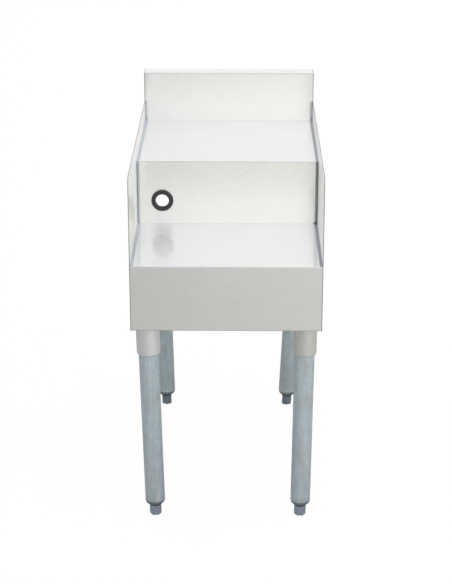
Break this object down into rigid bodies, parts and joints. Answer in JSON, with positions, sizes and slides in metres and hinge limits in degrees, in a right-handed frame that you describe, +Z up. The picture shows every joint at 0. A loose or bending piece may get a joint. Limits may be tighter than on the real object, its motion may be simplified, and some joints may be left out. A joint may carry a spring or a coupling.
{
  "type": "bar blender station",
  "caption": "Narrow stepped stand of brushed stainless sheet: a low deck for a blender, a riser with a cord grommet, an upper shelf and backsplash, on tube legs with levelling feet.",
  "frame": {"origin": "on the floor, under the middle of the body, with the levelling feet screwed right in", "axes": "+X to the right as seen from the front, +Y from the front to the back, +Z up"},
  "size_m": [0.3556, 0.6096, 0.7556],
  "materials": {
    "brushed_stainless": "fine horizontal brushed stainless sheet, number 4 finish",
    "mill_stainless": "dull mill finish stainless sheet, out of sight",
    "ground_weld": "stainless weld ground smooth and satin",
    "black_rubber": "black rubber, soft sheen",
    "cast_socket": "cast, satin, pale warm grey",
    "galvanised_tube": "galvanised steel tube, faint zinc bloom along its length",
    "black_plastic": "black moulded plastic",
    "slate_plastic": "slate grey moulded plastic",
    "zinc_plated_steel": "bright zinc plate"
  },
  "bodies": {
    "station": {"right_side_panel": "brushed_stainless", "left_side_panel": "brushed_stainless", "deck_and_apron": "brushed_stainless", "riser_and_shelf": "brushed_stainless", "backsplash": "brushed_stainless", "right_corner_weld": "ground_weld", "left_corner_weld": "ground_weld", "deck_stiffener": "mill_stainless", "shelf_stiffener": "mill_stainless", "cord_grommet": "black_rubber", "front_leg_channel": "mill_stainless", "rear_leg_channel": "mill_stainless", "front_left_gusset": "cast_socket", "front_left_leg": "galvanised_tube", "front_left_foot_plug": "black_plastic", "front_right_gusset": "cast_socket", "front_right_leg": "galvanised_tube", "front_right_foot_plug": "black_plastic", "rear_left_gusset": "cast_socket", "rear_left_leg": "galvanised_tube", "rear_left_foot_plug": "black_plastic", "rear_right_gusset": "cast_socket", "rear_right_leg": "galvanised_tube", "rear_right_foot_plug": "black_plastic", "gusset_bolts": "zinc_plated_steel", "gusset_nuts": "zinc_plated_steel", "gusset_set_screws": "zinc_plated_steel"},
    "front_left_leveller": {"front_left_foot": "slate_plastic", "front_left_foot_stud": "zinc_plated_steel"},
    "front_right_leveller": {"front_right_foot": "slate_plastic", "front_right_foot_stud": "zinc_plated_steel"},
    "rear_left_leveller": {"rear_left_foot": "slate_plastic", "rear_left_foot_stud": "zinc_plated_steel"},
    "rear_right_leveller": {"rear_right_foot": "slate_plastic", "rear_right_foot_stud": "zinc_plated_steel"}
  },
  "joints": [
    {"name": "front_left_leveller_travel", "type": "slide", "parent": "station", "child": "front_left_leveller", "axis": [0.0262, 0, -0.9997], "range_m": [0, 0.025]},
    {"name": "front_right_leveller_travel", "type": "slide", "parent": "station", "child": "front_right_leveller", "axis": [-0.0122, 0, -0.9999], "range_m": [0, 0.025]},
    {"name": "rear_left_leveller_travel", "type": "slide", "parent": "station", "child": "rear_left_leveller", "axis": [0.0244, 0, -0.9997], "range_m": [0, 0.025]},
    {"name": "rear_right_leveller_travel", "type": "slide", "parent": "station", "child": "rear_right_leveller", "axis": [-0.0471, 0, -0.9989], "range_m": [0, 0.025]}
  ]
}
